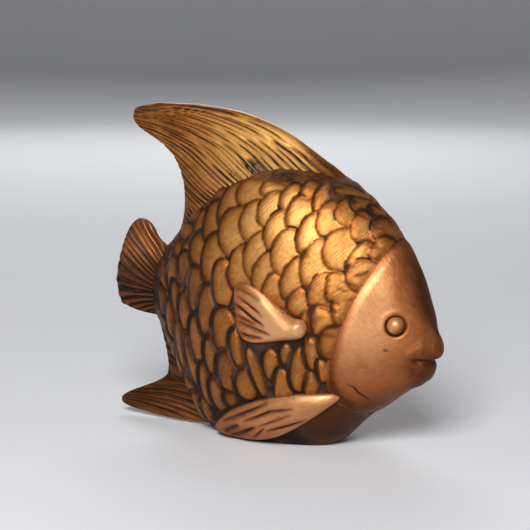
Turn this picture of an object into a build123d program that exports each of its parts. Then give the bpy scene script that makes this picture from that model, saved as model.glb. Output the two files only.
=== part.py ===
"""Fish figurine: a hollow cast body with its own head, fins, eyes and foot plate.

X runs to the head, Y to the fish's left and Z up. The origin is the middle of the face it rests on.
All sizes are in millimetres.
"""
import os
from math import radians, tan

from build123d import *

# Body form, from the tail root to the nose, with the floor at the bottom of the height
BODY_LENGTH = 125.0
BODY_HEIGHT = 110.0
BODY_WIDTH = 58.4
FOOT_ALONG = 0.44
# Each station: how far along, top, belly, half width and level of the widest line,
# as shares of the body's length, height, half width and height
BODY_STATIONS = (
    (0.000, 0.609, 0.427, 0.138, 0.518),
    (0.040, 0.645, 0.355, 0.257, 0.509),
    (0.104, 0.718, 0.209, 0.445, 0.491),
    (0.200, 0.850, 0.027, 0.700, 0.473),
    (0.320, 0.955, -0.045, 0.905, 0.459),
    (0.440, 1.000, -0.059, 0.993, 0.450),
    (0.560, 0.995, -0.045, 1.000, 0.445),
    (0.680, 0.945, 0.005, 0.911, 0.445),
    (0.776, 0.877, 0.105, 0.736, 0.441),
    (0.856, 0.791, 0.177, 0.548, 0.432),
    (0.920, 0.691, 0.232, 0.384, 0.418),
    (0.968, 0.568, 0.268, 0.240, 0.395),
    (0.993, 0.450, 0.297, 0.135, 0.375),
)
# The hollow leaves out the thin ends of the form
HOLLOW_STATIONS = BODY_STATIONS[2:11]
WALL = 5.0
# Gap left for the film of slip between pieces that are stuck together
SEAM = 0.15

# Head: stands proud of the flanks behind the gill edge
HEAD_STEP = 1.0
SPIGOT_LENGTH = 5.0
SPIGOT_WALL = 3.0
# Gill edge from the crown to the throat, as shares of the body's length and height
GILL_EDGE = (
    (0.915, 0.860),
    (0.848, 0.667),
    (0.792, 0.536),
    (0.752, 0.390),
    (0.735, 0.260),
    (0.755, 0.168),
    (0.812, 0.116),
    (0.920, 0.095),
)

# Lips: two rolls across the nose, with the mouth slit between them
UPPER_LIP_RADIUS = 3.6
UPPER_LIP_WIDTH = 13.0
UPPER_LIP_LEVEL = 43.6
UPPER_LIP_REACH = 4.2
LOWER_LIP_RADIUS = 3.2
LOWER_LIP_WIDTH = 11.0
LOWER_LIP_LEVEL = 35.2
LOWER_LIP_REACH = -0.2
MOUTH_DEPTH = 6.5
MOUTH_GAPE = 2.4
MOUTH_LEVEL = 39.2
MOUTH_CORNER_LIFT = 1.4

# Eyes: a dome on a stem, in a round hollow of the head
EYE_RADIUS = 3.3
EYE_RING_RADIUS = 4.3
EYE_RING_DEPTH = 1.2
EYE_STEM_RADIUS = 1.8
EYE_STEM_LENGTH = 4.0
EYE_SETBACK = 10.5
EYE_LEVEL = 51.3
EYE_TURN = 33.0

# Dorsal fin, from the low rear end of its root to its tip
DORSAL_HEIGHT = 55.3
DORSAL_THICKNESS = 24.0
DORSAL_OVERHANG = 11.3
DORSAL_SETBACK = 22.3
DORSAL_LENGTH = BODY_LENGTH + DORSAL_OVERHANG - DORSAL_SETBACK
DORSAL_RISE = 20.1
# Each level: height, rear end, front end and thickness, as shares of the fin's sizes
DORSAL_LEVELS = (
    (0.000, 0.174, 0.755, 0.60),
    (0.100, 0.204, 0.860, 0.80),
    (0.220, 0.220, 0.940, 0.95),
    (0.365, 0.222, 0.988, 1.00),
    (0.475, 0.211, 0.928, 0.96),
    (0.565, 0.193, 0.852, 0.80),
    (0.640, 0.165, 0.788, 0.65),
    (0.730, 0.105, 0.718, 0.52),
    (0.820, 0.026, 0.645, 0.42),
    (0.910, 0.004, 0.538, 0.33),
    (0.975, 0.043, 0.410, 0.23),
    (1.000, 0.115, 0.290, 0.13),
)
DORSAL_TENON_CENTER = -8.0
DORSAL_TENON_LENGTH = 34.0
DORSAL_TENON_WIDTH = 7.0
DORSAL_TENON_HEIGHT = 12.0

# Tail fin, from inside the tail root to its rear edge
TAIL_LENGTH = 28.6
TAIL_HEIGHT = 39.6
TAIL_THICKNESS = 12.0
TAIL_BOTTOM = 43.0
TAIL_OVERHANG = 19.6
# Each station: how far back, top, bottom and thickness, as shares of the fin's sizes
TAIL_STATIONS = (
    (0.00, 0.700, 0.020, 1.00),
    (0.17, 0.755, 0.000, 0.90),
    (0.30, 0.830, 0.000, 0.80),
    (0.39, 0.940, 0.005, 0.72),
    (0.54, 1.000, 0.015, 0.63),
    (0.70, 0.960, 0.035, 0.58),
    (0.84, 0.813, 0.068, 0.53),
    (0.945, 0.590, 0.116, 0.43),
    (1.00, 0.430, 0.250, 0.22),
)
TAIL_ROOT_LEVEL = 57.0
TAIL_TENON_LENGTH = 9.0
TAIL_TENON_HEIGHT = 9.0
TAIL_TENON_WIDTH = 4.0

# Anal fin, from just above the floor to the tail root
ANAL_HEIGHT = 40.0
ANAL_LENGTH = 52.0
ANAL_THICKNESS = 7.2
ANAL_LIFT = 1.0
ANAL_OVERHANG = 18.3
# Each level: height, rear end, front end and thickness, as shares of the fin's sizes
ANAL_LEVELS = (
    (0.000, 0.340, 1.000, 0.61),
    (0.055, 0.065, 0.990, 0.78),
    (0.125, 0.000, 0.990, 0.89),
    (0.200, 0.063, 0.980, 0.97),
    (0.275, 0.195, 0.960, 1.00),
    (0.350, 0.330, 0.920, 1.00),
    (0.425, 0.425, 0.900, 1.00),
    (0.525, 0.450, 0.860, 1.00),
    (0.675, 0.438, 0.790, 0.94),
    (0.825, 0.410, 0.710, 0.83),
    (1.000, 0.370, 0.640, 0.55),
)
ANAL_TENON_REAR = -44.0
ANAL_TENON_LENGTH = 14.0
ANAL_TENON_HEIGHT = 9.0
ANAL_TENON_LEVEL = 16.0
ANAL_TENON_WIDTH = 4.0

# Pectoral fins: a knob at the shoulder that opens into a fan
PECTORAL_LENGTH = 31.0
PECTORAL_HEIGHT = 22.6
PECTORAL_PROUD = 4.6
PECTORAL_ROUNDING = 1.6
PECTORAL_FRONT = 29.2
PECTORAL_LEVEL = 42.7
# Outline from the shoulder along the lower edge and round the fan: back and up, as shares of its sizes
PECTORAL_OUTLINE = (
    (0.00, 0.25),
    (0.09, 0.03),
    (0.36, 0.01),
    (0.66, 0.00),
    (0.90, 0.16),
    (1.00, 0.53),
    (0.97, 0.85),
    (0.87, 1.00),
    (0.64, 0.93),
    (0.39, 0.75),
    (0.16, 0.50),
    (0.05, 0.41),
)
PECTORAL_PEG_RADIUS = 3.0
PECTORAL_PEG_BACK = 8.0
PECTORAL_PEG_UP = 7.0

# Pelvic fins: leaves that lie along the lower flanks down to the floor
PELVIC_LENGTH = 55.0
PELVIC_HEIGHT = 26.5
PELVIC_PROUD = 3.6
PELVIC_FRONT = 35.5
PELVIC_MID_LEVEL = 12.0
PELVIC_LEAN = 25.0
# Outline from the front root along the upper edge to the tip and back: back and up, as shares of its sizes
PELVIC_OUTLINE = (
    (0.00, 0.94),
    (0.12, 1.00),
    (0.30, 0.92),
    (0.52, 0.785),
    (0.715, 0.62),
    (0.91, 0.365),
    (1.00, 0.13),
    (0.96, 0.01),
    (0.76, 0.00),
    (0.56, 0.13),
    (0.34, 0.36),
    (0.17, 0.60),
)
PELVIC_PEG_RADIUS = 2.5
PELVIC_PEG_BACK = 18.0
PELVIC_PEG_UP = 18.0

# Foot plate: closes the opening in the belly, with a hole for the air
FOOT_LENGTH = 40.0
FOOT_WIDTH = 15.0
FOOT_THICKNESS = 4.0
VENT_RADIUS = 2.5
VENT_FORWARD = 10.0

# Solids that stand on their place, or hang below it
RISING = (Align.CENTER, Align.CENTER, Align.MIN)
SUNK = (Align.CENTER, Align.CENTER, Align.MAX)

TAIL_ROOT_X = -FOOT_ALONG * BODY_LENGTH
NOSE_X = TAIL_ROOT_X + BODY_LENGTH


def along(share):
    """X of a share of the body's length."""
    return TAIL_ROOT_X + share * BODY_LENGTH


def body_sections(stations, grow):
    """Upright sections of the body form, with the skin moved outwards by grow."""
    sections = []
    for share, top, belly, half, widest in stations:
        level = widest * BODY_HEIGHT
        half_width = half * BODY_WIDTH / 2 + grow
        with BuildSketch(Plane.YZ.offset(along(share))) as section:
            with BuildLine():
                EllipticalCenterArc((0, level), half_width, top * BODY_HEIGHT + grow - level, 0, arc_size=180)
                EllipticalCenterArc((0, level), half_width, level - belly * BODY_HEIGHT + grow, 180, arc_size=180)
            make_face()
        sections.append(section.sketch)
    return sections


def head_outline(behind):
    """Side view of the head region, with the gill edge moved to the rear by behind."""
    with BuildSketch(Plane.XZ) as outline:
        with BuildLine():
            gill = Spline(*[(along(x) - behind, z * BODY_HEIGHT) for x, z in GILL_EDGE])
            Polyline(gill @ 1, (2 * NOSE_X, 0), (2 * NOSE_X, 2 * BODY_HEIGHT), (NOSE_X, 2 * BODY_HEIGHT), gill @ 0)
        make_face()
    return outline.sketch


def flank_reach(x, z):
    """Distance of the flank's skin from the middle plane, by straight lines between the stations."""
    share = (x - TAIL_ROOT_X) / BODY_LENGTH
    for rear, front in zip(BODY_STATIONS, BODY_STATIONS[1:]):
        if share <= front[0]:
            break
    part = (share - rear[0]) / (front[0] - rear[0])
    top, belly, half, widest = [a + part * (b - a) for a, b in zip(rear[1:], front[1:])]
    end = top if z > widest * BODY_HEIGHT else belly
    rise = (z / BODY_HEIGHT - widest) / (end - widest)
    return half * BODY_WIDTH / 2 * (1 - rise**2) ** 0.5


def upright_blade(levels, size, rear_x, low_z):
    """Sections of an upright fin: one flat ellipse at each level."""
    length, thickness, height = size
    sections = []
    for level, rear, front, share in levels:
        with BuildSketch(Plane.XY.offset(low_z + level * height)) as section:
            with Locations((rear_x + (rear + front) / 2 * length, 0)):
                Ellipse((front - rear) / 2 * length, share * thickness / 2)
        sections.append(section.sketch)
    return sections


def leaf_outline(plane, outline, length, height):
    """Closed smooth outline of a paired fin on its own plane."""
    with BuildSketch(plane) as section:
        with BuildLine():
            Spline(*[(x * length, y * height) for x, y in outline], periodic=True)
        make_face()
    return section.sketch


def block(corner, size, clearance):
    """Block across the middle plane from its lower rear corner, with clearance added all round."""
    x, z = corner
    length, width, height = [side + 2 * clearance for side in size]
    with BuildPart() as solid:
        with Locations((x - clearance, 0, z - clearance)):
            Box(length, width, height, align=(Align.MIN, Align.CENTER, Align.MIN))
    return solid.part


def dorsal_tenon(clearance):
    """Tenon under the dorsal fin, through the wall of the back."""
    corner = (DORSAL_TENON_CENTER - DORSAL_TENON_LENGTH / 2, BODY_HEIGHT - 2 * WALL)
    return block(corner, (DORSAL_TENON_LENGTH, DORSAL_TENON_WIDTH, DORSAL_TENON_HEIGHT), clearance)


def tail_tenon(clearance):
    """Tenon in front of the tail fin, in the solid end of the body."""
    corner = (TAIL_ROOT_X - WALL, TAIL_ROOT_LEVEL - TAIL_TENON_HEIGHT / 2)
    return block(corner, (TAIL_TENON_LENGTH + WALL, TAIL_TENON_WIDTH, TAIL_TENON_HEIGHT), clearance)


def anal_tenon(clearance):
    """Tenon in front of the anal fin, through the wall of the belly."""
    corner = (ANAL_TENON_REAR, ANAL_TENON_LEVEL - ANAL_TENON_HEIGHT / 2)
    return block(corner, (ANAL_TENON_LENGTH, ANAL_TENON_WIDTH, ANAL_TENON_HEIGHT), clearance)


def peg(plane, place, radius, reach_out, clearance):
    """Peg of a paired fin, or its hole, from inside the fin through the wall of the flank."""
    with BuildPart() as solid:
        with BuildSketch(plane.offset(-reach_out / 2)):
            with Locations(place):
                Circle(radius + clearance)
        extrude(amount=reach_out / 2 + 2 * WALL + clearance)
    return solid.part


def pectoral_peg(clearance):
    """Peg of the right pectoral fin, under its shoulder."""
    place = (PECTORAL_PEG_BACK, PECTORAL_PEG_UP)
    return peg(PECTORAL_PLANE, place, PECTORAL_PEG_RADIUS, PECTORAL_PROUD, clearance)


def pelvic_peg(clearance):
    """Peg of the right pelvic fin, behind its root."""
    place = (PELVIC_PEG_BACK, PELVIC_PEG_UP)
    return peg(PELVIC_PLANE, place, PELVIC_PEG_RADIUS, 0, clearance)


def lip_roll(x, z, radius, width):
    """Roll of a lip: a ball drawn out across the nose."""
    with BuildPart() as roll:
        with Locations((x, 0, z)):
            Sphere(radius)
        scale(by=(1, width / 2 / radius, 1))
    return roll.part


def fin_plane(front, low, reach, lean):
    """Plane of a right-hand fin: back along the flank, up the flank, and into the body."""
    inward = Vector(0, 1, 0).rotate(Axis.X, lean)
    return Plane((front, -reach, low), x_dir=(-1, 0, 0), z_dir=inward)


PECTORAL_PLANE = fin_plane(
    PECTORAL_FRONT,
    PECTORAL_LEVEL,
    flank_reach(PECTORAL_FRONT - PECTORAL_LENGTH / 2, PECTORAL_LEVEL + PECTORAL_HEIGHT / 2),
    0,
)
PELVIC_PLANE = fin_plane(
    PELVIC_FRONT,
    0,
    flank_reach(PELVIC_FRONT - PELVIC_LENGTH / 2, PELVIC_MID_LEVEL) - PELVIC_MID_LEVEL * tan(radians(PELVIC_LEAN)),
    PELVIC_LEAN,
)
EYE_X = NOSE_X - EYE_SETBACK
EYE_REACH = flank_reach(EYE_X, EYE_LEVEL) + HEAD_STEP
RIGHT_EYE_PLANE = Plane((EYE_X, -EYE_REACH, EYE_LEVEL), z_dir=Vector(0, -1, 0).rotate(Axis.Z, EYE_TURN))
LEFT_EYE_PLANE = Plane((EYE_X, EYE_REACH, EYE_LEVEL), z_dir=Vector(0, 1, 0).rotate(Axis.Z, -EYE_TURN))

# Forms that several pieces share
with BuildPart() as body_form:
    loft(body_sections(BODY_STATIONS, 0))

with BuildPart() as body_clearance:
    loft(body_sections(BODY_STATIONS, SEAM))

with BuildPart() as hollow:
    loft(body_sections(HOLLOW_STATIONS, -WALL))
    split(bisect_by=Plane.XY.offset(FOOT_THICKNESS), keep=Keep.TOP)

with BuildPart() as head_region:
    extrude(head_outline(SEAM), amount=BODY_WIDTH, both=True)

# Fins of the middle plane, each with a tenon that goes into a slot of the body
with BuildPart() as dorsal_fin:
    loft(
        upright_blade(
            DORSAL_LEVELS,
            (DORSAL_LENGTH, DORSAL_THICKNESS, DORSAL_HEIGHT),
            TAIL_ROOT_X - DORSAL_OVERHANG,
            BODY_HEIGHT + DORSAL_RISE - DORSAL_HEIGHT,
        )
    )
    add(body_clearance.part, mode=Mode.SUBTRACT)
    add(dorsal_tenon(0))

with BuildPart() as tail_fin:
    for back, top, bottom, thickness in TAIL_STATIONS:
        with BuildSketch(Plane.YZ.offset(TAIL_ROOT_X - TAIL_OVERHANG + (1 - back) * TAIL_LENGTH)):
            with Locations((0, TAIL_BOTTOM + (top + bottom) / 2 * TAIL_HEIGHT)):
                Ellipse(thickness * TAIL_THICKNESS / 2, (top - bottom) / 2 * TAIL_HEIGHT)
    loft()
    add(body_clearance.part, mode=Mode.SUBTRACT)
    add(tail_tenon(0))

with BuildPart() as anal_fin:
    loft(
        upright_blade(
            ANAL_LEVELS,
            (ANAL_LENGTH, ANAL_THICKNESS, ANAL_HEIGHT),
            TAIL_ROOT_X - ANAL_OVERHANG,
            ANAL_LIFT,
        )
    )
    add(body_clearance.part, mode=Mode.SUBTRACT)
    add(anal_tenon(0))

# Paired fins of the right side, each with a peg that goes into the flank
with BuildPart() as right_pectoral_fin:
    fan = leaf_outline(PECTORAL_PLANE, PECTORAL_OUTLINE, PECTORAL_LENGTH, PECTORAL_HEIGHT)
    extrude(fan, amount=-PECTORAL_PROUD)
    fillet(right_pectoral_fin.faces().sort_by(Axis.Y)[0].edges(), PECTORAL_ROUNDING)
    extrude(fan, amount=WALL)
    add(body_clearance.part, mode=Mode.SUBTRACT)
    add(pectoral_peg(0))

with BuildPart() as right_pelvic_fin:
    loft(body_sections(BODY_STATIONS, PELVIC_PROUD))
    leaf = leaf_outline(PELVIC_PLANE, PELVIC_OUTLINE, PELVIC_LENGTH, PELVIC_HEIGHT)
    extrude(leaf, amount=BODY_WIDTH / 4, both=True, mode=Mode.INTERSECT)
    add(body_clearance.part, mode=Mode.SUBTRACT)
    add(head_region.part, mode=Mode.SUBTRACT)
    split(bisect_by=Plane.XY, keep=Keep.TOP)
    add(pelvic_peg(0))

# Head: its spigot fits inside the front of the flanks
with BuildPart() as head_spigot:
    loft(body_sections(HOLLOW_STATIONS, -WALL - SEAM))
    extrude(head_outline(SPIGOT_LENGTH), amount=BODY_WIDTH, both=True, mode=Mode.INTERSECT)

with BuildPart() as head_hollow:
    loft(body_sections(HOLLOW_STATIONS, -WALL - SPIGOT_WALL))

with BuildPart() as head_shell:
    loft(body_sections(BODY_STATIONS, HEAD_STEP))
    extrude(head_outline(0), amount=BODY_WIDTH, both=True, mode=Mode.INTERSECT)
    add(lip_roll(NOSE_X + UPPER_LIP_REACH - UPPER_LIP_RADIUS, UPPER_LIP_LEVEL, UPPER_LIP_RADIUS, UPPER_LIP_WIDTH))
    add(lip_roll(NOSE_X + LOWER_LIP_REACH - LOWER_LIP_RADIUS, LOWER_LIP_LEVEL, LOWER_LIP_RADIUS, LOWER_LIP_WIDTH))
    with BuildSketch(Plane.XZ):
        with BuildLine():
            Polyline(
                (NOSE_X - MOUTH_DEPTH, MOUTH_LEVEL + MOUTH_CORNER_LIFT),
                (NOSE_X + MOUTH_DEPTH, MOUTH_LEVEL - MOUTH_GAPE),
                (NOSE_X + MOUTH_DEPTH, MOUTH_LEVEL + MOUTH_GAPE),
                close=True,
            )
        make_face()
    extrude(amount=BODY_WIDTH, both=True, mode=Mode.SUBTRACT)
    add(head_spigot.part)
    add(head_hollow.part, mode=Mode.SUBTRACT)
    with Locations(RIGHT_EYE_PLANE.offset(-EYE_RING_DEPTH), LEFT_EYE_PLANE.offset(-EYE_RING_DEPTH)):
        Cylinder(EYE_RING_RADIUS, 2 * EYE_RADIUS, align=RISING, mode=Mode.SUBTRACT)
        Cylinder(EYE_STEM_RADIUS + SEAM, EYE_STEM_LENGTH + SEAM, align=SUNK, mode=Mode.SUBTRACT)

with BuildPart() as right_eye:
    with Locations(RIGHT_EYE_PLANE.offset(SEAM - EYE_RING_DEPTH)):
        Sphere(EYE_RADIUS, arc_size1=0, align=RISING)
        Cylinder(EYE_STEM_RADIUS, EYE_STEM_LENGTH, align=SUNK)

# Foot plate: fills the opening under the belly
with BuildPart() as foot_plate:
    with BuildSketch(Plane.XY):
        Ellipse(FOOT_LENGTH / 2, FOOT_WIDTH / 2)
        with Locations((VENT_FORWARD, 0)):
            Circle(VENT_RADIUS, mode=Mode.SUBTRACT)
    extrude(amount=FOOT_THICKNESS)

# Flanks: one hollow body, parted along the middle plane
with BuildPart() as right_flank_shell:
    add(body_form.part)
    split(bisect_by=Plane.XY, keep=Keep.TOP)
    add(hollow.part, mode=Mode.SUBTRACT)
    add(head_region.part, mode=Mode.SUBTRACT)
    with BuildSketch(Plane.XY):
        Ellipse(FOOT_LENGTH / 2 + SEAM, FOOT_WIDTH / 2 + SEAM)
    extrude(amount=FOOT_THICKNESS, mode=Mode.SUBTRACT)
    for socket in (dorsal_tenon, tail_tenon, anal_tenon, pectoral_peg, pelvic_peg):
        add(socket(SEAM), mode=Mode.SUBTRACT)
    split(bisect_by=Plane.XZ.offset(SEAM / 2), keep=Keep.TOP)

with BuildPart() as left_flank_shell:
    mirror(right_flank_shell.part, about=Plane.XZ)

with BuildPart() as left_pectoral_fin:
    mirror(right_pectoral_fin.part, about=Plane.XZ)

with BuildPart() as left_pelvic_fin:
    mirror(right_pelvic_fin.part, about=Plane.XZ)

with BuildPart() as left_eye:
    mirror(right_eye.part, about=Plane.XZ)

pieces = {
    "right_flank_shell": right_flank_shell,
    "left_flank_shell": left_flank_shell,
    "head_shell": head_shell,
    "dorsal_fin": dorsal_fin,
    "tail_fin": tail_fin,
    "anal_fin": anal_fin,
    "right_pectoral_fin": right_pectoral_fin,
    "left_pectoral_fin": left_pectoral_fin,
    "right_pelvic_fin": right_pelvic_fin,
    "left_pelvic_fin": left_pelvic_fin,
    "right_eye": right_eye,
    "left_eye": left_eye,
    "foot_plate": foot_plate,
}
os.makedirs("parts", exist_ok=True)
for name, piece in pieces.items():
    piece.part.label = name
    export_step(piece.part, f"parts/{name}.step")
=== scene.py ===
"""Fish figurine: scaled flanks, a smooth head, ribbed fins, eyes and a foot plate, in antique bronze paint.

Lengths inside the functions are in millimetres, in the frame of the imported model.
"""
import math

import bmesh
import bpy
import numpy as np
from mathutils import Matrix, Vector


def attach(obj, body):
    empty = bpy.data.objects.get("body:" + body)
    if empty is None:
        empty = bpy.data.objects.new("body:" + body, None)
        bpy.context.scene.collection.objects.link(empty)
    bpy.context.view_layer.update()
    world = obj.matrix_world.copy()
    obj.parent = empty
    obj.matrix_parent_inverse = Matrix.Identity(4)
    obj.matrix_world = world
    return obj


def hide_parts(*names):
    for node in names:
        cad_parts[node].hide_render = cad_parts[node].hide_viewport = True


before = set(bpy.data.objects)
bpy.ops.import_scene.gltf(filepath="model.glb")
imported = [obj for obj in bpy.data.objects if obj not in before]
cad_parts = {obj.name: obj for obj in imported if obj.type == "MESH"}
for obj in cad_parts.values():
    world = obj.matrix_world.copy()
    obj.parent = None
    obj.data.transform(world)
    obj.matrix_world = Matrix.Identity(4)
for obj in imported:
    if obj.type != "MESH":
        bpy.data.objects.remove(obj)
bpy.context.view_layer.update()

bl_info = {
    "name": "Fish figurine",
    "version": (1, 0, 0),
    "blender": (4, 5, 0),
    "location": "3D View > Sidebar > Fish",
    "description": "Dresses the fish figurine with scales, ribbed fins and antique bronze paint",
    "category": "Add Mesh",
}

MM = 0.001
HALF_TURN = math.pi

# Body form from the tail root to the nose: x, back, belly, half width, level of the widest line
BODY = np.array((
    (-55.0, 67.0, 43.0, 4.0, 56.0),
    (-50.0, 71.0, 36.5, 7.5, 55.0),
    (-42.0, 79.0, 23.0, 13.0, 54.0),
    (-30.0, 93.5, 3.0, 20.4, 52.0),
    (-15.0, 105.1, -5.0, 26.4, 50.5),
    (0.0, 110.0, -6.5, 29.0, 49.5),
    (15.0, 109.8, -5.0, 29.2, 49.0),
    (30.0, 105.2, 0.55, 26.6, 49.0),
    (42.0, 96.8, 11.6, 21.5, 48.5),
    (52.0, 87.3, 19.5, 16.0, 47.5),
    (60.0, 76.0, 25.5, 11.2, 46.0),
    (66.0, 62.5, 29.5, 7.0, 43.5),
    (69.1, 49.5, 32.7, 3.9, 41.3),
    (70.4, 45.0, 36.5, 1.6, 41.0),
    (70.9, 42.0, 40.0, 0.3, 41.0),
))
BODY_MIDDLE = np.array((10.0, 0.0, 50.0))
FLANK_END = -54.6
# Gill edge from the throat to the crown: x, z
GILL = np.array((
    (60.0, 10.5), (46.5, 12.8), (39.4, 18.5), (36.9, 28.6),
    (39.0, 42.9), (44.0, 59.0), (51.0, 73.4), (59.4, 94.6),
))
HEAD_PROUD = 1.0
HEAD_CENTER = np.array((48.0, 0.0, 46.0))
HEAD_INSIDE = np.array((44.0, 0.0, 46.0))
# Share of the head's rows that show, and the angle by which they pass the gill edge
HEAD_ROWS = 0.88
HEAD_LAP = 0.06
# Rounds of the snout and of its tip: middle along and up, half length, half width, reach up and down
SNOUT = ((64.3, 49.5, 5.4, 7.0, 10.0, 10.0), (68.9, 41.4, 4.2, 5.0, 6.6, 4.4))
SNOUT_BLEND = 0.9
# Mouth line: its front end along and up, and its climb to the corner
MOUTH_FRONT = 69.9
MOUTH_LEVEL = 36.8
MOUTH_CLIMB = 0.13
FOOT_HALF = (20.0, 7.5)
# Fins of the middle plane: level, one end, other end, half thickness
DORSAL = np.array((
    (69.0, -50.5, 10.0, 3.0),
    (74.8, -46.5, 19.8, 6.0),
    (80.3, -43.0, 31.7, 9.0),
    (87.0, -41.2, 40.9, 11.4),
    (95.0, -41.0, 46.3, 12.0),
    (101.1, -42.2, 39.5, 11.5),
    (106.0, -44.3, 30.8, 9.6),
    (110.2, -47.5, 23.5, 7.8),
    (115.2, -54.3, 15.6, 6.2),
    (120.1, -63.3, 7.2, 5.0),
    (125.1, -65.8, -5.0, 4.0),
    (128.7, -61.4, -19.6, 2.8),
    (130.1, -53.2, -33.2, 1.6),
))
DORSAL_LEAD = np.array((
    (-66.0, 129.0), (-53.2, 130.1), (-33.2, 130.0), (-19.6, 128.7), (-5.0, 125.1),
    (7.2, 120.1), (15.6, 115.2), (23.5, 110.2), (30.8, 106.0), (39.5, 101.1),
    (46.3, 95.0), (60.0, 80.0), (90.0, 40.0),
))
# The dorsal rays follow the leading edge moved back and down in this proportion
RAY_SHIFT = (64.7, 12.7)
TAIL = np.array((
    (46.0, 43.8, 70.7, 6.0),
    (50.9, 43.0, 72.9, 5.4),
    (54.6, 43.0, 75.9, 4.8),
    (57.2, 43.2, 80.2, 4.3),
    (61.4, 43.6, 82.6, 3.8),
    (66.0, 44.4, 81.0, 3.5),
    (70.0, 45.7, 75.2, 3.2),
    (73.0, 47.6, 66.4, 2.6),
    (74.6, 52.9, 60.0, 1.3),
))
ANAL = np.array((
    (1.0, -55.6, -21.3, 2.2),
    (3.2, -69.9, -21.8, 2.8),
    (6.0, -73.3, -21.8, 3.2),
    (9.0, -70.0, -22.3, 3.5),
    (12.0, -63.2, -23.4, 3.6),
    (15.0, -56.1, -25.5, 3.6),
    (18.0, -51.2, -26.5, 3.6),
    (22.0, -49.9, -28.6, 3.6),
    (28.0, -50.5, -32.2, 3.4),
    (34.0, -52.0, -36.4, 3.0),
    (41.0, -54.1, -40.0, 2.0),
))
# Point that the tail's rays spread from, back and up
TAIL_CENTER = (34.0, 52.0)
# Depth of the smaller fins' grooves against the dorsal fin's
SMALL_FIN_DEPTH = 1.4
# Paired fins: outlines as shares of length and height, back from the front end and up from the low end
PECTORAL_SIZE = np.array((31.0, 22.6))
PECTORAL_KNOB = np.array((0.15, 0.31))
PECTORAL_PLACE = (29.2, -29.0, 42.7)
PECTORAL_PROUD = 4.6
PECTORAL_BEDDED = 7.0
PECTORAL_EDGE = 5.0
PECTORAL_OUTLINE = np.array((
    (-0.03, 0.35), (-0.01, 0.24), (0.05, 0.16), (0.24, 0.11), (0.42, 0.06),
    (0.56, 0.02), (0.73, 0.00), (0.86, 0.06), (0.93, 0.25), (0.95, 0.45),
    (0.97, 0.69), (0.97, 0.88), (0.90, 1.00), (0.75, 0.98), (0.57, 0.86),
    (0.40, 0.68), (0.24, 0.54), (0.14, 0.48), (0.05, 0.47), (-0.01, 0.43),
))
# Creases of the pectoral fin and grooves of the pelvic fin:
# width, depth and places back from the front end and up
PECTORAL_CREASES = (
    (0.8, 1.0, ((30.5, 15.1), (27, 13), (21.7, 9.7), (15, 7))),
    (0.7, 0.8, ((29.5, 10.6), (26, 9.2), (19, 7))),
    (0.7, 1.0, ((29, 8.2), (25.5, 7), (20, 5.6), (12, 4))),
    (0.7, 1.0, ((28, 3.6), (23.5, 2.5), (16, 2.2))),
    (0.8, 0.8, ((28.5, 17.6), (22.2, 14), (16, 11))),
    (0.8, 0.6, ((29, 21.2), (18, 16.8))),
)
PELVIC_GROOVES = (
    (0.7, 1.0, ((48, 8.5), (44.5, 10.5), (36.5, 15), (23, 22))),
    (0.7, 0.9, ((36, 12), (22.5, 18.5), (12, 20.4))),
    (0.7, 0.6, ((30, 10.5), (13, 18))),
    (0.8, 0.9, ((27, 8.5), (9, 14.4))),
    (0.9, 1.0, ((47, 4.5), (38, 10.2))),
    (1.0, 1.0, ((45, 2.6), (37, 6.5), (30, 10.6))),
    (0.6, 0.7, ((34.5, 3), (26, 11))),
)
PELVIC_SIZE = np.array((55.0, 26.5))
PELVIC_MIDDLE = np.array((0.48, 0.48))
PELVIC_PLACE = (35.5, -15.8)
PELVIC_LEAN = math.radians(25)
PELVIC_PROUD = 3.6
PELVIC_BEDDED = 5.0
PELVIC_EDGE = 6.0
PELVIC_OUTLINE = np.array((
    (-0.06, 0.79), (-0.03, 0.87), (0.05, 0.91), (0.15, 0.93), (0.25, 0.92), (0.41, 0.86),
    (0.58, 0.74), (0.78, 0.52), (0.92, 0.27), (1.00, 0.06), (0.92, 0.00), (0.79, 0.00),
    (0.64, 0.02), (0.51, 0.09), (0.41, 0.18), (0.32, 0.29), (0.17, 0.48), (0.04, 0.65),
))
OUTLINE_POINTS = 720
# Picture of the object: the camera's place and aim, the lens and the points across the picture
CAMERA_PLACE = np.array((362.009, -634.218, 183.699))
CAMERA_AIM = np.array((-8.374, 7.304, 66.373))
LENS = 127.36
SENSOR = 36.0
PICTURE = 530
# Distances from the camera at which the body is looked for
DEPTHS = np.arange(600.0, 840.0, 0.25)
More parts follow.
